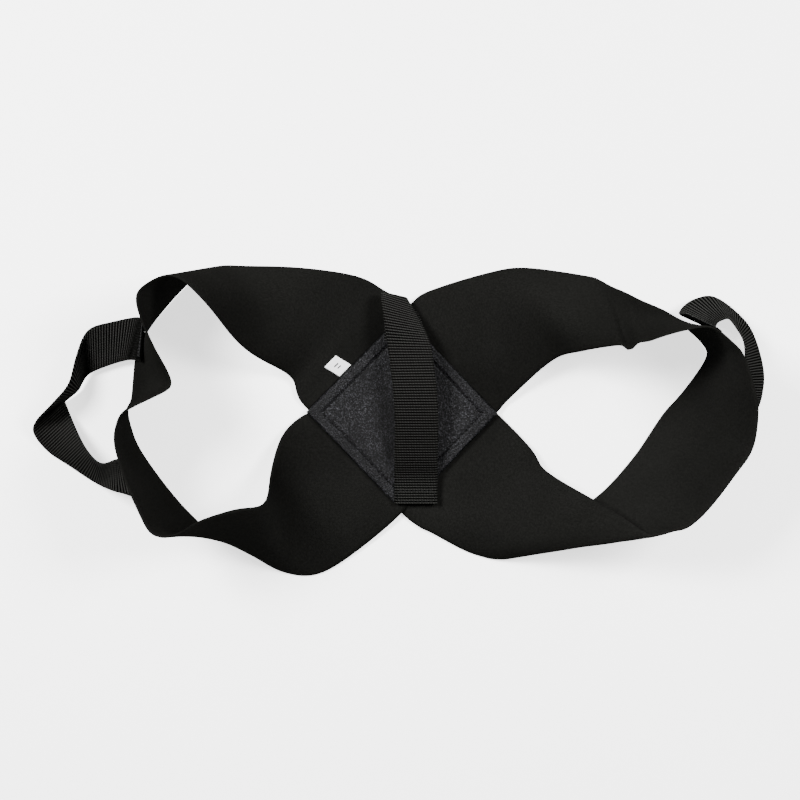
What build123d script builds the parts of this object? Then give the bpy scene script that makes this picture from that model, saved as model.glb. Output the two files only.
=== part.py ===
"""Back brace: two crossing elastic bands that form two shoulder loops, with a stitched patch.

Frame: +X to the wearer's right-hand shoulder loop as the brace lies on a table, +Y towards the
neck, +Z up from the table.  The origin is the centre of the underside of the patch backing.

Every flat textile is a ribbon.  A ribbon is given by stations, and each station is the pair of
points where one straight line across the textile meets its two edges.
"""
from build123d import *
import os

# driving dimensions, mm
BAND_THICKNESS = 1.6
BAND_WIDTH = 95.0
WEBBING_THICKNESS = 1.8
LEATHER_THICKNESS = 1.2
BACKING_THICKNESS = 1.0
TABLE_Z = 1.0
LOWER_STRIP_Z = 2.0
UPPER_STRIP_Z = 4.0
HEM_WIDTH = 7.4
HEM_INSET = 0.2
ROW_INSET = 0.6
BACKING_INSET = 1.5
HEM_BOTTOM_Z = 4.9
HEM_THICKNESS = 0.85
PATCH_TOP_Z = 7.0
FOLD_X = 72.0
FOLD_GAP = 0.4
STITCH_LENGTH = 2.6
STITCH_PITCH = 3.6
STITCH_WIDTH = 0.7
STITCH_HEIGHT = 0.5
TACK_CLEARANCE = 0.1
TAG_LENGTH = 12.5
TAG_WIDTH = 11.4
TAG_START = 34.0
TAG_SLANT = 13.0
TAG_THICKNESS = 0.4
TAG_Z = 5.4
TAG_GAP = 0.8
TAG_BAR_COUNT = 2
TAG_BAR_PITCH = 2.4
TAG_BAR_LENGTH = 3.0
TAG_BAR_WIDTH = 0.7
TAG_BAR_HEIGHT = 0.15
STATION_STEPS = 4
SPACE = 600.0
PATCH_CUT_Y = -63.0

# corners of the patch, set as a diamond; its lowest corner is cut off square under the strap
PATCH_LEFT = Vector(-67.5, 0)
PATCH_TOP = Vector(0, 68.5)
PATCH_RIGHT = Vector(66, -1)
PATCH_BOTTOM = Vector(0, -70)
PATCH_CORNERS = [PATCH_LEFT, PATCH_TOP, PATCH_RIGHT, PATCH_BOTTOM]

# The left shoulder loop, from the upper arm round the far end to the lower arm, with one station
# at each bend of its edges.  The first point of a station is on the edge that borders the arm
# hole at the patch and stands up as a rim at the far end.  The second is on the edge that stays
# on the table.  A station without heights stands as high as the band's width lets it.
LEFT_LOOP = [
    ((-66, 1, LOWER_STRIP_Z), (6, 74, LOWER_STRIP_Z)),
    ((-74, 12, 4), (-12, 84, 2)),
    ((-79, 26, 7), (-31, 95, 2)),
    ((-107, 42, 46), (-72, 101, TABLE_Z)),
    ((-131, 74), (-108, 102)),
    ((-150, 90), (-126, 102)),
    ((-169, 84), (-142, 97)),
    ((-175, 74), (-158, 82)),
    ((-168, 54), (-177, 60)),
    ((-162, 41), (-186, 42)),
    ((-151, 19), (-189, 20)),
    ((-163, 11), (-190, 8)),
    ((-181, 2), (-193, 1)),
    ((-187, -8), (-190, -12)),
    ((-188, -25), (-183, -28)),
    ((-175, -60), (-161, -58)),
    ((-164, -80), (-142, -78)),
    ((-147, -79), (-130, -88)),
    ((-134, -71), (-117, -94)),
    ((-110, -63), (-101, -103)),
    ((-92, -61, 72), (-84, -112, TABLE_Z)),
    ((-91, -42, 28), (-60, -114, TABLE_Z)),
    ((-84, -15, 7), (-33, -98, 2)),
    ((-66, 0, UPPER_STRIP_Z), (-1, -71, UPPER_STRIP_Z)),
]

# The right shoulder loop, in the same order.
RIGHT_LOOP = [
    ((66, 0, UPPER_STRIP_Z), (4, 74, UPPER_STRIP_Z)),
    ((73, 8, 4), (19, 85, 3)),
    ((103, 36, 20), (62, 98, TABLE_Z)),
    ((120, 41, 50), (87, 101, TABLE_Z)),
    ((144, 45), (129, 95)),
    ((152, 43), (138, 92)),
    ((169, 50), (164, 79)),
    ((185, 54), (184, 70)),
    ((202, 56), (199, 58)),
    ((215, 46), (210, 47)),
    ((223, 36), (212, 37)),
    ((232, 11), (195, 13)),
    ((234, -4), (183, 0)),
    ((232, -25), (171, -18)),
    ((220, -41), (162, -31)),
    ((205, -62), (144, -52)),
    ((190, -76), (127, -66)),
    ((180, -79, 71), (106, -81, TABLE_Z)),
    ((167, -82, 68), (78, -100, TABLE_Z)),
    ((157, -77, 64), (66, -103, TABLE_Z)),
    ((147, -70, 58), (55, -101, TABLE_Z)),
    ((131, -60, 40), (41, -96, TABLE_Z)),
    ((99, -41, 10), (19, -84, 2)),
    ((91, -27, 6), (12, -81, 2)),
    ((66, -1, LOWER_STRIP_Z), (-1, -71, LOWER_STRIP_Z)),
]

# The webbing strap over the patch: sewn flat at the bottom corner, bowed up over the middle,
# folded under itself above the top corner and sewn there.
CENTRE_STRAP = [
    ((-6, -64, 8.6), (24, -64, 8.6)),
    ((-6, -52, 8.7), (24, -52, 8.7)),
    ((-6, -43, 10), (24, -43, 10)),
    ((-6, -30, 16), (24, -30, 16)),
    ((-6, 4, 25), (24, 4, 25)),
    ((-10, 42, 25), (20, 42, 24)),
    ((-13, 62, 25), (15, 57, 19)),
    ((-15, 77, 22), (8, 70, 13)),
    ((-15, 83, 15.5), (3, 79, 11.5)),
    ((-14, 79, 10), (6, 74, 9.6)),
    ((-13, 68, 8.9), (13, 64, 8.9)),
    ((-13, 50, 8.8), (16, 48, 8.8)),
]

# Webbing belt loops on the outer faces of the shoulder loops.  The first point of a station is
# on the edge away from the gap.  Two stations at each end are the tabs that are sewn down.
LEFT_UPPER_TAB = [
    ((-175, 63.5, 48), (-177, 34.5, 48)),
    ((-176.5, 64.5, 29), (-182.5, 35.5, 27)),
]
LEFT_BELT_LOOP = [
    ((-180, 65, 20), (-187.5, 36, 18)),
    ((-186, 66, 11), (-192, 36, 9)),
    ((-202, 63, 8), (-203, 33, 7)),
    ((-219, 57, 12), (-218, 27, 6)),
    ((-225, 37, 26), (-224, 20, 4)),
    ((-229, 19, 31), (-227, 15, 3)),
    ((-242, 4, 29), (-236, 8, 2)),
    ((-258, -11.5, 9), (-236, 7, 2)),
    ((-249, -27, 2), (-228, -9, 12)),
    ((-234, -37, 2), (-218, -25, 25)),
    ((-215, -49, 6), (-207, -35, 32)),
    ((-200, -54, 24), (-196, -32, 42)),
    ((-190, -56, 32), (-193, -32, 43)),
]
LEFT_LOWER_TAB = [
    ((-177, -60, 43), (-187, -34, 46)),
    ((-179, -60, 62), (-188.5, -33, 64)),
]
RIGHT_UPPER_TAB = [
    ((189, 66.5, 52), (215, 54.5, 52)),
    ((189, 67.5, 32), (215, 55.5, 32)),
]
RIGHT_BELT_LOOP = [
    ((190, 69, 23), (215, 57.5, 26)),
    ((195, 74, 13), (216, 61, 25)),
    ((204, 79, 7), (219, 63, 26)),
    ((218, 80.5, 3), (224, 64, 28)),
    ((237, 66, 2), (229, 57, 29)),
    ((246, 52, 2), (234, 47, 29)),
    ((252, 30, 2), (235, 28, 27)),
    ((251, 14, 4), (238, 14, 31)),
    ((245, 0, 12), (233, -1, 39)),
    ((231, -19, 24), (226, -5, 42)),
]
RIGHT_LOWER_TAB = [
    ((210, -31, 40), (219, -5, 42)),
    ((215, -32, 50), (224, -6, 50)),
]


def standing(stations):
    """The stations with every height filled in: the lower edge on the table, the width kept."""
    result = []
    for first, second in stations:
        if len(first) == 2:
            spread = (Vector(first) - Vector(second)).length
            rise = (BAND_WIDTH ** 2 - spread ** 2) ** 0.5
            first = (*first, TABLE_Z + rise)
            second = (*second, TABLE_Z)
        result.append((first, second))
    return result


def curve_point(before, start, end, after, t):
    """A point between start and end, on a smooth curve through all four."""
    linear = (end - before) * t
    square = (before * 2 - start * 5 + end * 4 - after) * t ** 2
    cube = (start * 3 - before - end * 3 + after) * t ** 3
    return (start * 2 + linear + square + cube) * 0.5


def smoothed(stations):
    """Stations at even shares of every span, with both edges on smooth curves."""
    edges = [[Vector(station[side]) for station in stations] for side in (0, 1)]
    last = len(stations) - 1
    result = []
    for i in range(last):
        for step in range(STATION_STEPS):
            pair = []
            for edge in edges:
                around = (edge[max(i - 1, 0)], edge[i], edge[i + 1], edge[min(i + 2, last)])
                pair.append(curve_point(*around, step / STATION_STEPS))
            result.append(tuple(pair))
    result.append((edges[0][last], edges[1][last]))
    return result


def ribbon(stations, thickness):
    """A closed solid of even thickness along the stations."""
    firsts = [Vector(pair[0]) for pair in stations]
    seconds = [Vector(pair[1]) for pair in stations]
    last = len(stations) - 1
    wires = []
    for i in range(last + 1):
        after = min(i + 1, last)
        before = max(i - 1, 0)
        along = firsts[after] - firsts[before] + seconds[after] - seconds[before]
        across = seconds[i] - firsts[i]
        offset = along.cross(across).normalized() * (thickness / 2)
        corners = [firsts[i] + offset, seconds[i] + offset, seconds[i] - offset, firsts[i] - offset]
        wires.append(Wire.make_polygon(corners, close=True))
    return Solid.make_loft(wires, ruled=True)


def half_space(x_low, x_high):
    """A box that holds everything between two planes across X."""
    span = x_high - x_low
    return Pos((x_low + x_high) / 2, 0, 0) * Box(span, SPACE, SPACE)


def swapped(stations):
    """The same stations with the two edges exchanged."""
    return [(second, first) for first, second in stations]


def flat_plate(corners, bottom, thickness):
    """A flat plate with the given outline."""
    outline = Wire.make_polygon([Vector(c.X, c.Y, bottom) for c in corners], close=True)
    return extrude(Face(outline), thickness, dir=(0, 0, 1))


def inset_corners(corners, distance):
    """The corners of a convex outline, moved in so that each side shifts by a distance."""
    centre = sum(corners, Vector(0, 0)) * (1 / len(corners))
    moved_lines = []
    for i, start in enumerate(corners):
        end = corners[(i + 1) % len(corners)]
        direction = (end - start).normalized()
        inward = Vector(-direction.Y, direction.X)
        if inward.dot(centre - start) < 0:
            inward = inward * -1
        moved_lines.append((start + inward * distance, direction))
    result = []
    for i in range(len(corners)):
        point_a, direction_a = moved_lines[i - 1]
        point_b, direction_b = moved_lines[i]
        turn = direction_a.X * direction_b.Y - direction_a.Y * direction_b.X
        gap = point_b - point_a
        distance_along = (gap.X * direction_b.Y - gap.Y * direction_b.X) / turn
        result.append(point_a + direction_a * distance_along)
    return result


def stitch_row(start, end, top):
    """A row of stitches that stand a little out of a level surface."""
    direction = (end - start).normalized()
    length = (end - start).length
    count = int(length // STITCH_PITCH)
    margin = (length - (count - 1) * STITCH_PITCH) / 2
    angle = direction.get_signed_angle(Vector(1, 0, 0)) * -1
    stitches = []
    for i in range(count):
        place = start + direction * (margin + i * STITCH_PITCH)
        stitch = Box(STITCH_LENGTH, STITCH_WIDTH, STITCH_HEIGHT)
        stitches.append(Pos(place.X, place.Y, top + STITCH_HEIGHT / 2) * Rot(0, 0, angle) * stitch)
    return stitches


def tack_rows(inner_stations, offset):
    """Short bars of thread across a sewn webbing tab, on the face away from the band."""
    bars = []
    first_a, second_a = (Vector(p) for p in inner_stations[0])
    first_b, second_b = (Vector(p) for p in inner_stations[1])
    normal = (first_b - first_a).cross(second_a - first_a).normalized() * offset
    for fraction in (0.15, 0.5, 0.85):
        first = first_a + (first_b - first_a) * fraction
        second = second_a + (second_b - second_a) * fraction
        reach = (second - first) * 0.42
        middle = (first + second) * 0.5 + normal
        path = Edge.make_line(middle - reach, middle + reach)
        profile = Plane(origin=path @ 0, z_dir=path % 0) * Circle(STITCH_WIDTH / 2)
        bars.append(sweep(profile, path))
    return bars


def patch_pieces():
    """The leatherette patch, its turned-in hems, its backing and its stitch rows."""
    pieces = {}
    front_bottom = PATCH_TOP_Z - LEATHER_THICKNESS
    kept = Pos(0, PATCH_CUT_Y + SPACE / 2, 0) * Box(SPACE, SPACE, SPACE)
    backing = flat_plate(inset_corners(PATCH_CORNERS, BACKING_INSET), 0, BACKING_THICKNESS)
    pieces["patch_front"] = flat_plate(PATCH_CORNERS, front_bottom, LEATHER_THICKNESS) & kept
    pieces["patch_backing"] = backing & kept
    outer = inset_corners(PATCH_CORNERS, HEM_INSET)
    inner = inset_corners(PATCH_CORNERS, HEM_WIDTH)
    row = inset_corners(PATCH_CORNERS, HEM_WIDTH + ROW_INSET)
    names = ["upper_left", "upper_right", "lower_right", "lower_left"]
    stitches = []
    for i, side in enumerate(names):
        j = (i + 1) % 4
        outline = [outer[i], outer[j], inner[j], inner[i]]
        pieces["patch_hem_" + side] = flat_plate(outline, HEM_BOTTOM_Z, HEM_THICKNESS) & kept
        stitches += stitch_row(row[i], row[j], PATCH_TOP_Z)
    pieces["patch_stitching"] = Compound(children=stitches)
    return pieces


def band_pieces():
    """The two shoulder loops and the two strips of the bands that cross under the patch."""
    left = smoothed(standing(LEFT_LOOP))
    right = smoothed(standing(RIGHT_LOOP))
    short_reach = 3 * STATION_STEPS
    long_reach = 6 * STATION_STEPS
    lower = left[short_reach::-1] + swapped(right[:-long_reach - 2:-1])
    upper = swapped(left[-short_reach - 1:]) + right[:short_reach + 1]
    inside = half_space(-FOLD_X, FOLD_X)
    left_side = half_space(-SPACE, -FOLD_X - FOLD_GAP)
    right_side = half_space(FOLD_X + FOLD_GAP, SPACE)
    pieces = {}
    pieces["elastic_strip_lower"] = ribbon(lower, BAND_THICKNESS) & inside
    pieces["elastic_strip_upper"] = ribbon(upper, BAND_THICKNESS) & inside
    pieces["left_shoulder_band"] = ribbon(left, BAND_THICKNESS) & left_side
    pieces["right_shoulder_band"] = ribbon(right, BAND_THICKNESS) & right_side
    return pieces


def webbing_pieces():
    """The centre strap, the two belt loops, their sewn tabs and the thread that holds them."""
    pieces = {}
    pieces["centre_strap"] = ribbon(smoothed(CENTRE_STRAP), WEBBING_THICKNESS)
    pieces["left_belt_loop"] = ribbon(smoothed(LEFT_BELT_LOOP), WEBBING_THICKNESS)
    pieces["right_belt_loop"] = ribbon(smoothed(RIGHT_BELT_LOOP), WEBBING_THICKNESS)
    pieces["left_loop_upper_tab"] = ribbon(LEFT_UPPER_TAB, WEBBING_THICKNESS)
    pieces["left_loop_lower_tab"] = ribbon(LEFT_LOWER_TAB, WEBBING_THICKNESS)
    pieces["right_loop_upper_tab"] = ribbon(RIGHT_UPPER_TAB, WEBBING_THICKNESS)
    pieces["right_loop_lower_tab"] = ribbon(RIGHT_LOWER_TAB, WEBBING_THICKNESS)
    out = WEBBING_THICKNESS / 2 + STITCH_WIDTH / 2 + TACK_CLEARANCE
    pieces["left_loop_tacks"] = Compound(
        children=tack_rows(LEFT_UPPER_TAB, out) + tack_rows(LEFT_LOWER_TAB, out))
    pieces["right_loop_tacks"] = Compound(
        children=tack_rows(RIGHT_UPPER_TAB, -out) + tack_rows(RIGHT_LOWER_TAB, out))
    strap_top = CENTRE_STRAP[1][0][2] + WEBBING_THICKNESS / 2
    rows = []
    for y in (-62.5, -54.5):
        rows += stitch_row(Vector(-4, y), Vector(22, y), strap_top)
    for x in (-4, 22):
        rows += stitch_row(Vector(x, -62), Vector(x, -55), strap_top)
    pieces["centre_strap_stitching"] = Compound(children=rows)
    return pieces


def tag_pieces():
    """The white size tag that slants out from under the patch, with plain woven bars."""
    edge = (PATCH_TOP - PATCH_LEFT).normalized()
    outward = Vector(-edge.Y, edge.X)
    lean = outward.rotate(Axis.Z, TAG_SLANT)
    sewn_start = PATCH_LEFT + edge * TAG_START + outward * TAG_GAP
    sewn_end = sewn_start + edge * TAG_WIDTH
    reach = lean * TAG_LENGTH
    outline = [sewn_start, sewn_end, sewn_end + reach, sewn_start + reach]
    tag = flat_plate(outline, TAG_Z - TAG_THICKNESS / 2, TAG_THICKNESS)
    centre = (sewn_start + sewn_end + reach) * 0.5
    angle = Vector(1, 0, 0).get_signed_angle(edge)
    place = Pos(centre.X, centre.Y, TAG_Z) * Rot(0, 0, angle)
    bars = []
    for i in range(TAG_BAR_COUNT):
        bar_y = (i - (TAG_BAR_COUNT - 1) / 2) * TAG_BAR_PITCH
        bar = Box(TAG_BAR_LENGTH + i, TAG_BAR_WIDTH, TAG_BAR_HEIGHT)
        bars.append(place * Pos(0, bar_y, (TAG_THICKNESS + TAG_BAR_HEIGHT) / 2) * bar)
    return {"size_tag": tag, "size_tag_bars": Compound(children=bars)}


os.makedirs("parts", exist_ok=True)
all_pieces = {}
for make in (patch_pieces, band_pieces, webbing_pieces, tag_pieces):
    all_pieces.update(make())
for name, piece in all_pieces.items():
    export_step(piece, f"parts/{name}.step")
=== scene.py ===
"""Looks of the back brace: elastic bands, leatherette patch, webbing and thread, in metres."""
import math
import random

import bmesh
import bpy
import numpy as np
from mathutils import Matrix, Vector


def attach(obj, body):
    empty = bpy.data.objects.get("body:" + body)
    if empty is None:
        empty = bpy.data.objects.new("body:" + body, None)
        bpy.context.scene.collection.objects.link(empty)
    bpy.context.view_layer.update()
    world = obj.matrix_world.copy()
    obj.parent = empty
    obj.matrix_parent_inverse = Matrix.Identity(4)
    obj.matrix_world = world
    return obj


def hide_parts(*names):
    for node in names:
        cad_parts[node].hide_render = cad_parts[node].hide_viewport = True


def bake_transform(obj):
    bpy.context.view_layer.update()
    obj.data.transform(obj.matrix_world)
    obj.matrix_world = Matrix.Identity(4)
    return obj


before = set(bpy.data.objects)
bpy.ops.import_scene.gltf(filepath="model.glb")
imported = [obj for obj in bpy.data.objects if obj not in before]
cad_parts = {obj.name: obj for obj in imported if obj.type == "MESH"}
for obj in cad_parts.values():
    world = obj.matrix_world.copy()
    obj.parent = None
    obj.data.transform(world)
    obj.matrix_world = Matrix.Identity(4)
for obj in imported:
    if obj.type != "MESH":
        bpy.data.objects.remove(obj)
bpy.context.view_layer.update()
MM = 0.001
random.seed(7)

# textile sizes, mm
BAND_THICKNESS = 1.6
BAND_WIDTH = 95.0
WEBBING_THICKNESS = 1.7
RIB_PITCH = 1.9
RIB_HEIGHT = 0.22
EDGE_CROWDING = 0.15
THINNEST_EDGE = 0.12
TABLE_Z = 1.0
LOWER_Z = 2.0
UPPER_Z = 4.0
PATCH_TOP = 7.0
HEM_WIDTH = 7.4
PATCH_SIDE = 95.5
PATCH_CUT_Y = -63.0
TAG_START = 34.0
TAG_GAP = 0.8
TAG_WIDTH = 11.4
TAG_LENGTH = 12.5
TAG_SLANT = 13.0
TAG_Z = 5.4
TAG_HALF_THICKNESS = 0.18
STITCH_INSET = 0.6
STITCH_SINK = 0.22
PATCH_FOOT_Z = 4.95
STRAP_END_Z = 8.65

# where the crease of the right band meets its hole-side edge, mm
RIGHT_CREASE = (148, 44)

# corners of the diamond patch, mm
PATCH_CORNERS = [(-67.5, 0), (0, 68.5), (66, -1), (0, -70)]

# Stations of the bands, mm, as in the CAD: the hole-side edge point and the outer edge point.
LEFT_LOOP = [
    ((-66, 1, LOWER_Z), (6, 74, LOWER_Z)),
    ((-74, 12, 4), (-12, 84, 2)),
    ((-79, 26, 7), (-31, 95, 2)),
    ((-107, 42, 46), (-72, 101, TABLE_Z)),
    ((-131, 74), (-108, 102)),
    ((-150, 90), (-126, 102)),
    ((-169, 84), (-142, 97)),
    ((-175, 74), (-158, 82)),
    ((-168, 54), (-177, 60)),
    ((-162, 41), (-186, 42)),
    ((-151, 19), (-189, 20)),
    ((-163, 11), (-190, 8)),
    ((-181, 2), (-193, 1)),
    ((-187, -8), (-190, -12)),
    ((-188, -25), (-183, -28)),
    ((-175, -60), (-161, -58)),
    ((-164, -80), (-142, -78)),
    ((-147, -79), (-130, -88)),
    ((-134, -71), (-117, -94)),
    ((-110, -63), (-101, -103)),
    ((-92, -61, 72), (-84, -112, TABLE_Z)),
    ((-91, -42, 28), (-60, -114, TABLE_Z)),
    ((-84, -15, 7), (-33, -98, 2)),
    ((-66, 0, UPPER_Z), (-1, -71, UPPER_Z)),
]
RIGHT_LOOP = [
    ((66, 0, UPPER_Z), (4, 74, UPPER_Z)),
    ((73, 8, 4), (19, 85, 3)),
    ((103, 36, 20), (62, 98, TABLE_Z)),
    ((120, 41, 50), (87, 101, TABLE_Z)),
    ((144, 45), (129, 95)),
    ((152, 43), (138, 92)),
    ((169, 50), (164, 79)),
    ((185, 54), (184, 70)),
    ((202, 56), (199, 58)),
    ((215, 46), (210, 47)),
    ((223, 36), (212, 37)),
    ((232, 11), (195, 13)),
    ((234, -4), (183, 0)),
    ((232, -25), (171, -18)),
    ((220, -41), (162, -31)),
    ((205, -62), (144, -52)),
    ((190, -76), (127, -66)),
    ((180, -79, 71), (106, -81, TABLE_Z)),
    ((167, -82, 68), (78, -100, TABLE_Z)),
    ((157, -77, 64), (66, -103, TABLE_Z)),
    ((147, -70, 58), (55, -101, TABLE_Z)),
    ((131, -60, 40), (41, -96, TABLE_Z)),
    ((99, -41, 10), (19, -84, 2)),
    ((91, -27, 6), (12, -81, 2)),
    ((66, -1, LOWER_Z), (-1, -71, LOWER_Z)),
]
CENTRE_STRAP = [
    ((-6, -64, 8.6), (24, -64, 8.6)),
    ((-6, -52, 8.7), (24, -52, 8.7)),
    ((-6, -43, 10), (24, -43, 10)),
    ((-6, -30, 16), (24, -30, 16)),
    ((-6, 4, 25), (24, 4, 25)),
    ((-10, 42, 25), (20, 42, 24)),
    ((-13, 62, 25), (15, 57, 19)),
    ((-15, 77, 22), (8, 70, 13)),
    ((-15, 83, 15.5), (3, 79, 11.5)),
    ((-14, 79, 10), (6, 74, 9.6)),
    ((-13, 68, 8.9), (13, 64, 8.9)),
    ((-13, 50, 8.8), (16, 48, 8.8)),
]
LEFT_WEBBING = [
    ((-175, 63.5, 48), (-177, 34.5, 48)),
    ((-176.5, 64.5, 29), (-182.5, 35.5, 27)),
    ((-180, 65, 20), (-187.5, 36, 18)),
    ((-186, 66, 11), (-192, 36, 9)),
    ((-202, 63, 8), (-203, 33, 7)),
    ((-219, 57, 12), (-218, 27, 6)),
    ((-225, 37, 26), (-224, 20, 4)),
    ((-229, 19, 31), (-227, 15, 3)),
    ((-242, 4, 29), (-236, 8, 2)),
    ((-258, -11.5, 9), (-236, 7, 2)),
    ((-249, -27, 2), (-228, -9, 12)),
    ((-234, -37, 2), (-218, -25, 25)),
    ((-215, -49, 6), (-207, -35, 32)),
    ((-200, -54, 24), (-196, -32, 42)),
    ((-190, -56, 32), (-193, -32, 43)),
    ((-177, -60, 43), (-187, -34, 46)),
    ((-179, -60, 62), (-188.5, -33, 64)),
]
RIGHT_WEBBING = [
    ((189, 66.5, 52), (215, 54.5, 52)),
    ((189, 67.5, 32), (215, 55.5, 32)),
    ((190, 69, 23), (215, 57.5, 26)),
    ((195, 74, 13), (216, 61, 25)),
    ((204, 79, 7), (219, 63, 26)),
    ((218, 80.5, 3), (224, 64, 28)),
    ((237, 66, 2), (229, 57, 29)),
    ((246, 52, 2), (234, 47, 29)),
    ((252, 30, 2), (235, 28, 27)),
    ((251, 14, 4), (238, 14, 31)),
    ((245, 0, 12), (233, -1, 39)),
    ((231, -19, 24), (226, -5, 42)),
    ((210, -31, 40), (219, -5, 42)),
    ((215, -32, 50), (224, -6, 50)),
]


# ---------------------------------------------------------------- materials

def new_material(name):
    """An empty node material: (material, tree, shader)."""
    material = bpy.data.materials.new(name)
    material.use_nodes = True
    tree = material.node_tree
    return material, tree, tree.nodes["Principled BSDF"]


def grey(level):
    """A neutral colour."""
    return (level, level, level)


def object_place(tree):
    """The object's own coordinates, in metres."""
    return tree.nodes.new("ShaderNodeTexCoord").outputs["Object"]


def cloth_place(tree, scale):
    """The ribbon's own length and width coordinates, in millimetres, scaled per axis."""
    attribute = tree.nodes.new("ShaderNodeAttribute")
    attribute.attribute_name = "cloth_mm"
    mapping = tree.nodes.new("ShaderNodeMapping")
    mapping.inputs["Scale"].default_value = scale
    tree.links.new(attribute.outputs["Vector"], mapping.inputs["Vector"])
    return mapping.outputs["Vector"]


def texture(tree, kind, place, **values):
    """A texture node at these coordinates, with its properties and sockets set by name."""
    node = tree.nodes.new("ShaderNodeTex" + kind)
    for key, value in values.items():
        if hasattr(node, key):
            setattr(node, key, value)
        else:
            node.inputs[key].default_value = value
    if place is not None:
        tree.links.new(place, node.inputs["Vector"])
    return node


def stripes(tree, place, direction, scale, **values):
    """A texture of even stripes that repeat along one direction."""
    return texture(tree, "Wave", place, wave_type="BANDS", bands_direction=direction,
                   wave_profile="SIN", Scale=scale, **values)


def ramp(tree, source, low, high, dark, light):
    """A colour socket that goes from one colour to the other between two source values."""
    node = tree.nodes.new("ShaderNodeValToRGB")
    for element, position, colour in zip(node.color_ramp.elements, (low, high), (dark, light)):
        element.position = position
        element.color = (*colour, 1)
    tree.links.new(source, node.inputs["Fac"])
    return node.outputs["Color"]


def mixed(tree, kind, amount, first, second):
    """A colour socket with two colours added or multiplied."""
    node = tree.nodes.new("ShaderNodeMixRGB")
    node.blend_type = kind
    node.inputs["Fac"].default_value = amount
    tree.links.new(first, node.inputs["Color1"])
    tree.links.new(second, node.inputs["Color2"])
    return node.outputs["Color"]


def chain_bump(tree, shader, layers):
    """Bump nodes one after another: (height socket, strength, distance in metres)."""
    previous = None
    for height, strength, distance in layers:
        bump = tree.nodes.new("ShaderNodeBump")
        bump.inputs["Strength"].default_value = strength
        bump.inputs["Distance"].default_value = distance
        tree.links.new(height, bump.inputs["Height"])
        if previous is not None:
            tree.links.new(previous, bump.inputs["Normal"])
        previous = bump.outputs["Normal"]
    tree.links.new(previous, shader.inputs["Normal"])


def mottled_material(name, dark, light, roughness, **noise_values):
    """A material clouded between two tones: (material, tree, shader, noise, coordinates)."""
    material, tree, shader = new_material(name)
    place = object_place(tree)
    noise = texture(tree, "Noise", place, **noise_values)
    colour = ramp(tree, noise.outputs["Fac"], 0.3, 0.7, dark, light)
    tree.links.new(colour, shader.inputs["Base Color"])
    shader.inputs["Roughness"].default_value = roughness
    return material, tree, shader, noise, place


def elastic_material():
    """Smooth black elastic: fine lengthwise cords with a small cross weave."""
    material, tree, shader = new_material("elastic_knit")
    place = object_place(tree)
    cords = stripes(tree, cloth_place(tree, (0.05, 1.1, 1)), "Y", 0.32, Distortion=0.25)
    picks = stripes(tree, cloth_place(tree, (1.0, 0.12, 1)), "X", 0.42, Distortion=0.6, Detail=1.0)
    fuzz = texture(tree, "Noise", place, Scale=900, Detail=3)
    clouds = texture(tree, "Noise", place, Scale=9, Detail=2)
    base = ramp(tree, clouds.outputs["Fac"], 0.3, 0.72,
                (0.0025, 0.0025, 0.0022), (0.0053, 0.0053, 0.0048))
    weave = mixed(tree, "ADD", 0.0014, base, cords.outputs["Color"])
    specks = ramp(tree, fuzz.outputs["Fac"], 0.35, 0.68, grey(0.78), grey(1.25))
    knit = mixed(tree, "MULTIPLY", 1.0, weave, specks)
    tree.links.new(knit, shader.inputs["Base Color"])
    rough = ramp(tree, fuzz.outputs["Fac"], 0.3, 0.7, grey(0.68), grey(0.84))
    tree.links.new(rough, shader.inputs["Roughness"])
    shader.inputs["Specular IOR Level"].default_value = 0.0
    chain_bump(tree, shader, [
        (cords.outputs["Fac"], 0.35, 0.00022),
        (picks.outputs["Fac"], 0.25, 0.00014),
        (fuzz.outputs["Fac"], 0.22, 0.00012),
    ])
    return material


def webbing_material():
    """Cross-ribbed black webbing: each rib is a row of short slanted threads, with painted
    highlight lines along the ribs and painted shade between them.
    """
    material, tree, shader = new_material("ribbed_webbing")
    place = cloth_place(tree, (1, 1, 1))
    threads = stripes(tree, place, "DIAGONAL", 0.36, Distortion=0.5, Detail=1.5)
    ribs = stripes(tree, place, "X", 2 * math.pi / 20 / RIB_PITCH)
    fuzz = texture(tree, "Noise", object_place(tree), Scale=1800, Detail=4)
    # Near-black between the ribs and much lighter along them: painted highlight lines and painted
    # shade, added on top of the ribs' real relief.
    base = ramp(tree, ribs.outputs["Fac"], 0.45, 1.0,
                (0.0009, 0.0009, 0.0008), (0.0245, 0.0245, 0.0230))
    threaded = mixed(tree, "MULTIPLY", 0.45, base, threads.outputs["Color"])
    tree.links.new(threaded, shader.inputs["Base Color"])
    rough = ramp(tree, fuzz.outputs["Fac"], 0.3, 0.7, grey(0.48), grey(0.72))
    tree.links.new(rough, shader.inputs["Roughness"])
    shader.inputs["Specular IOR Level"].default_value = 0.0
    chain_bump(tree, shader, [
        (threads.outputs["Fac"], 0.55, 0.0003),
        (fuzz.outputs["Fac"], 0.3, 0.0002),
    ])
    return material


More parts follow.
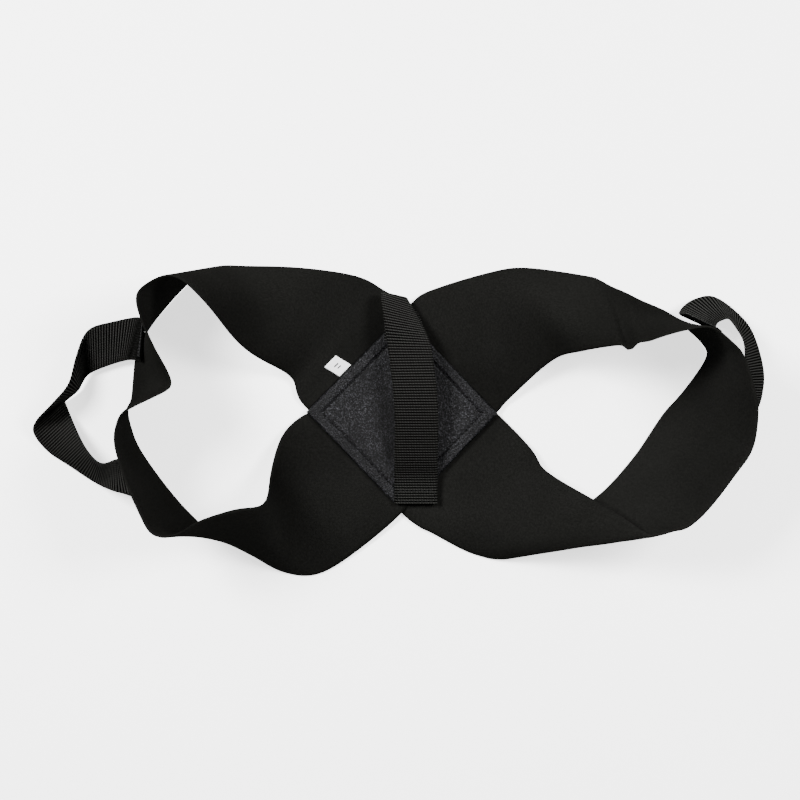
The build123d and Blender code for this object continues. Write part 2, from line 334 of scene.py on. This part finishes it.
def leatherette_material():
    """Matt bluish-black leatherette: raised pebbles, painted highlight specks, and painted shade
    in the creases between the pebbles.
    """
    material, tree, shader = new_material("leatherette_grain")
    place = object_place(tree)
    pebbles = texture(tree, "Voronoi", place, feature="SMOOTH_F1", Scale=1150, Smoothness=0.3)
    speckle = texture(tree, "Noise", place, Scale=1050, Detail=4, Roughness=0.7)
    wear = texture(tree, "Noise", place, Scale=75, Detail=5)
    base = ramp(tree, wear.outputs["Fac"], 0.3, 0.72,
                (0.0016, 0.0016, 0.0018), (0.0049, 0.0049, 0.0053))
    # Light specks over a much darker ground: painted highlight specks, standing in for glints on
    # the grain.
    highlight_specks = ramp(tree, speckle.outputs["Fac"], 0.50, 0.62, (0.12, 0.12, 0.13), (7.6, 7.6, 7.8))
    # Darker towards the pebbles' edges: painted shade in the creases between the pebbles.
    crease_shade = ramp(tree, pebbles.outputs["Distance"], 0.2, 0.75, grey(1.0), (0.3, 0.3, 0.32))
    highlight_speckled = mixed(tree, "MULTIPLY", 1.0, base, highlight_specks)
    crease_shaded = mixed(tree, "MULTIPLY", 0.8, highlight_speckled, crease_shade)
    tree.links.new(crease_shaded, shader.inputs["Base Color"])
    rough = ramp(tree, speckle.outputs["Fac"], 0.3, 0.7, grey(0.60), grey(0.38))
    tree.links.new(rough, shader.inputs["Roughness"])
    shader.inputs["Specular IOR Level"].default_value = 0.08
    height = tree.nodes.new("ShaderNodeMath")
    height.operation = "SUBTRACT"
    height.inputs[0].default_value = 1.0
    tree.links.new(pebbles.outputs["Distance"], height.inputs[1])
    chain_bump(tree, shader, [
        (height.outputs["Value"], 0.8, 0.0004),
        (speckle.outputs["Fac"], 0.5, 0.0003),
    ])
    return material


def backing_material():
    """Plain woven lining."""
    material, tree, shader, _, place = mottled_material(
        "lining_weave", grey(0.008), grey(0.020), 0.85, Scale=300, Detail=4)
    weave = texture(tree, "Checker", place, Scale=1600.0)
    shader.inputs["Specular IOR Level"].default_value = 0.15
    chain_bump(tree, shader, [(weave.outputs["Fac"], 0.4, 0.0002)])
    return material


def thread_material():
    """Twisted black sewing thread."""
    material, tree, shader, noise, _ = mottled_material(
        "sewing_thread", grey(0.0004), (0.0015, 0.0015, 0.0016), 0.6, Scale=2500, Detail=3)
    shader.inputs["Specular IOR Level"].default_value = 0.1
    chain_bump(tree, shader, [(noise.outputs["Fac"], 0.5, 0.0002)])
    return material


def tag_material():
    """White woven satin."""
    material, tree, shader = new_material("tag_satin")
    weave = stripes(tree, object_place(tree), "DIAGONAL", 700)
    base = ramp(tree, weave.outputs["Fac"], 0.1, 0.9, grey(0.62), grey(0.70))
    tree.links.new(base, shader.inputs["Base Color"])
    shader.inputs["Roughness"].default_value = 0.55
    chain_bump(tree, shader, [(weave.outputs["Fac"], 0.25, 0.0001)])
    return material


def tag_bar_material():
    """Dark thread of the tag's woven bars."""
    return mottled_material("tag_thread", (0.004, 0.004, 0.005), (0.014, 0.014, 0.016), 0.7,
                            Scale=3000)[0]


# ---------------------------------------------------------------- mesh helpers

def make_object(name, vertices, faces, material, smooth=True):
    """A mesh object from vertices in metres."""
    mesh = bpy.data.meshes.new(name)
    mesh.from_pydata([tuple(v) for v in vertices], [], faces)
    mesh.validate()
    mesh.polygons.foreach_set("use_smooth", [smooth] * len(mesh.polygons))
    mesh.materials.append(material)
    mesh.update()
    obj = bpy.data.objects.new(name, mesh)
    bpy.context.scene.collection.objects.link(obj)
    return obj


def standing(stations):
    """The stations with every height filled in: the lower edge on the table, the width kept."""
    result = []
    for first, second in stations:
        if len(first) == 2:
            spread = math.dist(first, second)
            first = (*first, TABLE_Z + math.sqrt(BAND_WIDTH ** 2 - spread ** 2))
            second = (*second, TABLE_Z)
        result.append((first, second))
    return result


def spline_rows(stations, per_span):
    """The two edges of a ribbon on smooth curves through its stations, as arrays in metres."""
    pairs = np.array(standing(stations), float) * MM
    last = len(pairs) - 1
    rows = []
    for i in range(last):
        a, b, c, d = pairs[max(i - 1, 0)], pairs[i], pairs[i + 1], pairs[min(i + 2, last)]
        for k in range(per_span):
            t = k / per_span
            rows.append(0.5 * (2 * b + (c - a) * t + (2 * a - 5 * b + 4 * c - d) * t * t
                               + (3 * b - a - 3 * c + d) * t ** 3))
    rows.append(pairs[last])
    return np.array(rows)


def evened(rows, step):
    """The rows again, at even steps along the ribbon's middle line."""
    middle = rows.mean(1)
    lengths = np.concatenate([[0], np.cumsum(np.linalg.norm(np.diff(middle, axis=0), axis=1))])
    count = int(round(lengths[-1] / step))
    places = np.linspace(0, lengths[-1], count + 1)
    result = np.empty((count + 1, 2, 3))
    for side in range(2):
        for axis in range(3):
            result[:, side, axis] = np.interp(places, lengths, rows[:, side, axis])
    return result, places


def softened(rows, passes):
    """The rows with their small kinks smoothed away, ends kept."""
    result = rows.copy()
    for _ in range(passes):
        result[1:-1] = result[1:-1] * 0.5 + (result[:-2] + result[2:]) * 0.25
    return result


def unit_cross(first, second):
    """Unit normals of two grids of directions."""
    normals = np.cross(first, second)
    return normals / (np.linalg.norm(normals, axis=2, keepdims=True) + 1e-12)


def ribbon(name, rows, places, thickness, columns, material, lift):
    """A closed ribbon with rounded edges.

    lift(s, t, flatness) gives how far the surface stands off the plain ribbon along its normal,
    in metres, for arrays of lengths s in metres, width fractions t and upward parts of the normal.
    """
    count = len(rows)
    crowded = 0.5 - 0.5 * np.cos(np.linspace(0, math.pi, columns + 1))
    fractions = np.linspace(0, 1, columns + 1) * (1 - EDGE_CROWDING) + crowded * EDGE_CROWDING
    first, second = rows[:, 0], rows[:, 1]
    points = first[:, None] + (second - first)[:, None] * fractions[None, :, None]
    across = (second - first)[:, None] + np.zeros_like(points)
    along = np.gradient(points, axis=0)
    normals = unit_cross(along, across)
    s, t = np.meshgrid(places, fractions, indexing="ij")
    points = points + normals * lift(s, t, normals[:, :, 2])[:, :, None]
    across = np.gradient(points, axis=1)
    along = np.gradient(points, axis=0)
    normals = unit_cross(along, across)
    width = np.linalg.norm(second - first, axis=1).mean()
    edge = np.minimum(t, 1 - t) * width / (thickness * MM * 0.5)
    rounding = np.clip(1 - (1 - np.clip(edge, 0, 1)) ** 2, THINNEST_EDGE, 1)
    half = thickness * MM / 2 * np.sqrt(rounding)
    upper = points + normals * half[:, :, None]
    lower = points - normals * half[:, :, None]
    ring = np.concatenate([upper, lower[:, ::-1]], axis=1)
    around = ring.shape[1]
    vertices = ring.reshape(-1, 3)
    vertices[:, 2] = np.maximum(vertices[:, 2], 0)
    faces = []
    for i in range(count - 1):
        for j in range(around):
            k = (j + 1) % around
            faces.append((i * around + j, i * around + k,
                          (i + 1) * around + k, (i + 1) * around + j))
    faces.append(tuple(reversed(range(around))))
    faces.append(tuple(range((count - 1) * around, count * around)))
    obj = make_object(name, vertices, faces, material)
    layer = obj.data.attributes.new("cloth_mm", "FLOAT_VECTOR", "POINT")
    width_mm = width / MM
    upper_coordinates = np.stack([s / MM, t * width_mm, np.zeros_like(s)], axis=2)
    coordinates = np.concatenate([upper_coordinates, upper_coordinates[:, ::-1]], axis=1)
    layer.data.foreach_set("vector", coordinates.reshape(-1).astype(np.float32))
    return obj


def thread_loop(points, radius, sides=6):
    """Vertices and faces of one stitch: a small tube with closed ends along points."""
    vertices = []
    faces = []
    last = len(points) - 1
    for i, point in enumerate(points):
        tangent = (points[min(i + 1, last)] - points[max(i - 1, 0)]).normalized()
        side = tangent.orthogonal().normalized()
        other = tangent.cross(side)
        size = radius * (0.55 if i in (0, last) else 1)
        for k in range(sides):
            angle = 2 * math.pi * k / sides
            vertices.append(point + (side * math.cos(angle) + other * math.sin(angle)) * size)
    for i in range(last):
        for k in range(sides):
            n = (k + 1) % sides
            faces.append((i * sides + k, i * sides + n, (i + 1) * sides + n, (i + 1) * sides + k))
    faces.append(tuple(reversed(range(sides))))
    faces.append(tuple(range(last * sides, (last + 1) * sides)))
    return vertices, faces


def append_mesh(vertices, faces, more):
    """Add the vertices and faces of one more shape to the lists."""
    more_vertices, more_faces = more
    base = len(vertices)
    vertices += more_vertices
    faces += [tuple(base + index for index in face) for face in more_faces]


def grid_rim(rows, columns):
    """The indices around a grid of vertices that is numbered row by row."""
    span = columns + 1
    rim = list(range(columns)) + [i * span + columns for i in range(rows)]
    rim += [rows * span + j for j in range(columns, 0, -1)]
    return rim + [i * span for i in range(rows, 0, -1)]


def stitches(name, rows, material, pitch=3.6, length=2.7, radius=0.34):
    """Rows of stitches as one piece. A row is (start, end, outward normal), in mm."""
    vertices = []
    faces = []
    for start, end, normal in rows:
        start, end, normal = Vector(start), Vector(end), Vector(normal).normalized()
        direction = (end - start).normalized()
        span = (end - start).length
        count = max(int(span // pitch), 1)
        margin = (span - (count - 1) * pitch) / 2
        for i in range(count):
            centre = start + direction * (margin + i * pitch)
            sway = direction.cross(normal) * random.uniform(-0.06, 0.06)
            path = []
            for u in (-1, -0.72, -0.3, 0.3, 0.72, 1):
                height = radius * (0.9 - 1.5 * abs(u) ** 3)
                point = centre + direction * u * length / 2 + normal * height + sway * u
                path.append(point * MM)
            append_mesh(vertices, faces, thread_loop(path, radius * MM))
    return make_object(name, vertices, faces, material)


# ---------------------------------------------------------------- pieces

def band_waves(seed, length, crease):
    """Soft cross waves of a resting elastic band, calm near its hidden ends and at both edges."""
    generator = np.random.default_rng(seed)
    phases = generator.uniform(0, 2 * math.pi, 3)

    def lift(s, t, flatness):
        calm = np.clip(np.minimum(s, length - s) / 0.10, 0, 1) ** 2
        inner = 1 - np.abs(2 * t - 1) ** 3
        slow = np.sin(s / 0.024 + phases[0] + 0.9 * t) + 1
        slant = np.sin(s / 0.011 + phases[1] + 3.0 * t) + 1
        swell = (slow * 0.0015 + slant * 0.0013) * flatness * inner
        ripple = np.sin(s / 0.0065 + phases[2]) * np.exp(-((t - 0.02) / 0.05) ** 2) * 0.0002
        shape = (swell + ripple) * calm
        if crease is not None:
            fold = np.exp(-((s - crease - 0.010 * t) / 0.004) ** 2) * -0.0027
            shoulder = np.exp(-((s - crease - 0.009 - 0.010 * t) / 0.005) ** 2) * 0.0019
            shape = shape + (fold + shoulder) * np.clip(1.15 - t, 0, 1)
        return shape
    return lift


def make_band(name, stations, seed, crease_at, material):
    """One shoulder loop of the elastic band, with its ends between the patch and its backing."""
    rows = softened(spline_rows(stations, 8), 6)
    rows, places = evened(rows, 0.0026)
    crease = None
    if crease_at is not None:
        away = np.linalg.norm(rows[:, 0, :2] - np.array(crease_at) * MM, axis=1)
        crease = places[np.argmin(away)]
    waves = band_waves(seed, places[-1], crease)
    obj = ribbon(name, rows, places, BAND_THICKNESS, 26, material, waves)
    return obj, places[-1]


def make_bands(material):
    """Both bands: the left one runs on as the lower strip, the right one as the upper strip."""
    left = [((7, -64, LOWER_Z), (60, -6, LOWER_Z)), ((-30, -31, LOWER_Z), (36, 35, LOWER_Z))]
    left += LEFT_LOOP + [((-57, -2, UPPER_Z), (3, -62, UPPER_Z))]
    right = [((-6, -64, UPPER_Z), (-58, -6, UPPER_Z)), ((33, -34, UPPER_Z), (-30, 34, UPPER_Z))]
    right += RIGHT_LOOP + [((58, 5, LOWER_Z), (-6, -60, LOWER_Z))]
    left_band, left_length = make_band("left_band", left, 3, None, material)
    right_band, right_length = make_band("right_band", right, 11, RIGHT_CREASE, material)
    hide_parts("left_shoulder_band", "elastic_strip_lower")
    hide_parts("right_shoulder_band", "elastic_strip_upper")
    for obj, length, body, side in (
            (left_band, left_length, "left_shoulder_loop", -1),
            (right_band, right_length, "right_shoulder_loop", 1)):
        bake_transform(obj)


def webbing_lift(s, t, flatness):
    """Cross ribs of the webbing, fading into a plain selvedge at both edges."""
    inside = np.clip(np.minimum(t, 1 - t) / 0.05, 0, 1)
    return np.sin(s / MM / RIB_PITCH * 2 * math.pi) * RIB_HEIGHT * MM * 0.5 * inside


def make_webbing(name, stations, material):
    """A length of cross-ribbed webbing with its ribs as real relief."""
    rows = softened(spline_rows(stations, 24), 40)
    rows, places = evened(rows, RIB_PITCH * MM / 5)
    return ribbon(name, rows, places, WEBBING_THICKNESS, 14, material, webbing_lift), places[-1]


def make_webbings(material):
    """The centre strap and the two belt loops, each in one piece with its sewn ends."""
    strap, strap_length = make_webbing("centre_webbing_strap", CENTRE_STRAP, material)
    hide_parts("centre_strap")
    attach(strap, "patch_assembly")
    left, left_length = make_webbing("left_webbing_belt_loop", LEFT_WEBBING, material)
    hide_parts("left_belt_loop", "left_loop_upper_tab", "left_loop_lower_tab")
    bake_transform(left)
    right, right_length = make_webbing("right_webbing_belt_loop", RIGHT_WEBBING, material)
    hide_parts("right_belt_loop", "right_loop_upper_tab", "right_loop_lower_tab")
    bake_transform(right)


def patch_point(u, v):
    """A point of the patch's outline, mm: u along its upper-left side, v across to lower right."""
    left, top, right, bottom = (Vector((x, y)) for x, y in PATCH_CORNERS)
    low = left + (top - left) * u
    high = bottom + (right - bottom) * u
    return low + (high - low) * v


def patch_height(place, inset):
    """Height of the patch, mm: its rolled rim, its border, its sunken stitch line, its middle."""
    roll = 1 - math.sqrt(max(0.0, 1 - (1 - min(inset / 1.6, 1)) ** 2))
    border = 0.55 * (1 - 1 / (1 + math.exp(-(inset - HEM_WIDTH - 0.2) * 2.2)))
    groove = -0.60 * math.exp(-((inset - HEM_WIDTH - STITCH_INSET) / 0.7) ** 2)
    pucker = 0.10 * math.sin(place.x * 0.9 + place.y * 0.35)
    pucker *= math.exp(-((inset - 6.5) / 3) ** 2)
    middle = 0.22 * math.sin(place.x / 9 + 1) * math.sin(place.y / 12)
    middle *= min(max(inset - HEM_WIDTH, 0) / 12, 1)
    return PATCH_TOP + 0.1 - 1.6 * roll + border + groove + pucker + middle


def cut_corner(obj):
    """Take the patch's lowest corner off square and close the cut."""
    shape = bmesh.new()
    shape.from_mesh(obj.data)
    everything = shape.verts[:] + shape.edges[:] + shape.faces[:]
    cut = bmesh.ops.bisect_plane(shape, geom=everything, plane_co=(0, PATCH_CUT_Y * MM, 0),
                                 plane_no=(0, -1, 0), clear_outer=True)
    edges = [item for item in cut["geom_cut"] if isinstance(item, bmesh.types.BMEdge)]
    bmesh.ops.holes_fill(shape, edges=edges, sides=0)
    shape.to_mesh(obj.data)
    shape.free()


def make_patch(material):
    """The leatherette patch: a turned-in border, a sunken stitch line and a soft middle."""
    count = 150
    span = count + 1
    vertices = []
    for i in range(span):
        for j in range(span):
            u, v = i / count, j / count
            place = patch_point(u, v)
            inset = min(u, 1 - u, v, 1 - v) * PATCH_SIDE
            vertices.append(Vector((place.x, place.y, patch_height(place, inset))) * MM)
    cells = [i * span + j for i in range(count) for j in range(count)]
    faces = [(a, a + span, a + span + 1, a + 1) for a in cells]
    rim = grid_rim(count, count)
    centre = Vector((0, -1)) * MM
    lower = []
    for index in rim:
        lower.append(len(vertices))
        inner = centre + (vertices[index].xy - centre) * 0.985
        vertices.append(Vector((inner.x, inner.y, PATCH_FOOT_Z * MM)))
    for k in range(len(rim)):
        n = (k + 1) % len(rim)
        faces.append((rim[k], rim[n], lower[n], lower[k]))
    faces.append(tuple(lower))
    obj = make_object("patch_leatherette", vertices, faces, material)
    cut_corner(obj)
    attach(obj, "patch_assembly")
    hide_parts("patch_front", "patch_hem_upper_left", "patch_hem_upper_right",
                "patch_hem_lower_right", "patch_hem_lower_left")


def inset_patch(distance):
    """The patch's corners moved in from every side, mm."""
    share = distance / PATCH_SIDE
    return [patch_point(abs(u - share), abs(v - share))
            for u, v in ((0, 0), (1, 0), (1, 1), (0, 1))]


def tack_rows(stations, away):
    """Three bar tacks over the end of a webbing, whose outer face looks away from the hole."""
    (a0, a1), (b0, b1) = [[Vector(point) for point in station] for station in stations]
    normal = (b0 - a0).cross(a1 - a0).normalized()
    if normal.x * away < 0:
        normal = -normal
    off = normal * (WEBBING_THICKNESS / 2 + 0.12)
    rows = []
    for share in (0.2, 0.45, 0.7):
        start = a0 + (b0 - a0) * share
        end = a1 + (b1 - a1) * share
        rows.append((start + (end - start) * 0.06 + off, end + (start - end) * 0.06 + off, normal))
    return rows


def make_threads(material):
    """Stitch rows of the patch and of the strap, and the bar tacks of the belt loops."""
    up = (0, 0, 1)
    level = PATCH_TOP - STITCH_SINK
    corners = [(*corner, level) for corner in inset_patch(HEM_WIDTH + STITCH_INSET)]
    rows = [(corners[i], corners[(i + 1) % 4], up) for i in range(4)]
    patch_rows = stitches("patch_stitch_rows", rows, material, radius=0.46)
    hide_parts("patch_stitching")
    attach(patch_rows, "patch_assembly")
    level = STRAP_END_Z + WEBBING_THICKNESS / 2
    rows = [((-4, y, level), (22, y, level), up) for y in (-62.5, -54.5)]
    rows += [((x, -62, level), (x, -55, level), up) for x in (-4, 22)]
    strap_rows = stitches("strap_box_stitch", rows, material, pitch=3.0, length=2.5)
    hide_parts("centre_strap_stitching")
    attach(strap_rows, "patch_assembly")
    for side, away, stations in (("left", -1, LEFT_WEBBING), ("right", 1, RIGHT_WEBBING)):
        rows = tack_rows(stations[:2], away) + tack_rows(stations[-2:], away)
        tacks = stitches(side + "_loop_bar_tacks", rows, material, pitch=2.2, length=2.0)
        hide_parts(side + "_loop_tacks")
        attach(tacks, side + "_shoulder_loop")


def make_tag(material, bar_material):
    """The white size tag, a little curled, with its plain woven bars."""
    left, top = (Vector((x, y, 0)) for x, y in PATCH_CORNERS[:2])
    edge = (top - left).normalized()
    out = Vector((-edge.y, edge.x, 0))
    lean = Matrix.Rotation(math.radians(TAG_SLANT), 3, "Z") @ out
    seam = left + edge * TAG_START + out * TAG_GAP + Vector((0, 0, TAG_Z))
    columns, rows = 14, 12

    def place(u, v, height):
        curl = Vector((0, 0, 0.5 * v * v + 0.12 * math.sin(3 * u)))
        flat = seam + edge * u * TAG_WIDTH + lean * v * TAG_LENGTH
        return (flat + curl) * MM + Vector((0, 0, height))

    vertices = []
    faces = []
    for layer in (TAG_HALF_THICKNESS * MM, -TAG_HALF_THICKNESS * MM):
        for i in range(rows + 1):
            for j in range(columns + 1):
                vertices.append(place(j / columns, i / rows, layer))
    span = columns + 1
    size = span * (rows + 1)
    for i in range(rows):
        for j in range(columns):
            a = i * span + j
            faces.append((a, a + 1, a + span + 1, a + span))
            faces.append((size + a, size + a + span, size + a + span + 1, size + a + 1))
    rim = grid_rim(rows, columns)
    for k in range(len(rim)):
        n = (k + 1) % len(rim)
        faces.append((rim[k], size + rim[k], size + rim[n], rim[n]))
    tag = make_object("size_tag_cloth", vertices, faces, material)
    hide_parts("size_tag")
    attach(tag, "tag")
    vertices = []
    faces = []
    for start, end, v in ((0.37, 0.63, 0.40), (0.32, 0.68, 0.60)):
        path = [place(start + (end - start) * k / 4, v, 0.30 * MM) for k in range(5)]
        append_mesh(vertices, faces, thread_loop(path, 0.45 * MM))
    bars = make_object("size_tag_woven_bars", vertices, faces, bar_material)
    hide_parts("size_tag_bars")
    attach(bars, "tag")


# ---------------------------------------------------------------- studio

def make_studio():
    """A pale floor, soft lights and a camera straight above."""
    floor_mesh = bpy.data.meshes.new("floor")
    reach = 3.0
    level = -0.0002
    corners = [(x * reach, y * reach, level) for x, y in ((-1, -1), (1, -1), (1, 1), (-1, 1))]
    floor_mesh.from_pydata(corners, [], [(0, 1, 2, 3)])
    floor = bpy.data.objects.new("floor", floor_mesh)
    bpy.context.scene.collection.objects.link(floor)
    material, tree, shader = new_material("pale_floor")
    noise = texture(tree, "Noise", None, Scale=3)
    base = ramp(tree, noise.outputs["Fac"], 0.3, 0.7, grey(0.93), grey(0.95))
    tree.links.new(base, shader.inputs["Base Color"])
    shader.inputs["Roughness"].default_value = 0.9
    shader.inputs["Specular IOR Level"].default_value = 0.1
    shader.inputs["Emission Color"].default_value = (1, 1, 1, 1)
    shader.inputs["Emission Strength"].default_value = 1.7
    floor_mesh.materials.append(material)

    world = bpy.data.worlds.new("studio")
    world.use_nodes = True
    background = world.node_tree.nodes["Background"]
    background.inputs["Color"].default_value = (1, 1, 1, 1)
    background.inputs["Strength"].default_value = 0.22
    bpy.context.scene.world = world
    for name, place, size, power in (
            ("key_softbox", (-0.72, 0.40, 1.05), 0.40, 52),
            ("side_softbox", (0.72, 0.30, 1.05), 0.40, 34)):
        light = bpy.data.lights.new(name, "AREA")
        light.energy = power
        light.size = size
        lamp = bpy.data.objects.new(name, light)
        lamp.location = place
        lamp.rotation_euler = (-Vector(place)).to_track_quat("-Z", "Y").to_euler()
        bpy.context.scene.collection.objects.link(lamp)

    camera_data = bpy.data.cameras.new("camera")
    camera_data.sensor_width = 36
    camera_data.lens = 90
    camera_data.clip_start = 0.05
    camera = bpy.data.objects.new("camera", camera_data)
    camera.location = (-0.0021, 0.0084, 1.4)
    camera.rotation_euler = (0, 0, 0)
    bpy.context.scene.collection.objects.link(camera)
    bpy.context.scene.camera = camera


make_bands(elastic_material())
make_webbings(webbing_material())
make_patch(leatherette_material())
make_threads(thread_material())
make_tag(tag_material(), tag_bar_material())
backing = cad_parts["patch_backing"]
backing.data.materials.clear()
backing.data.materials.append(backing_material())
make_studio()
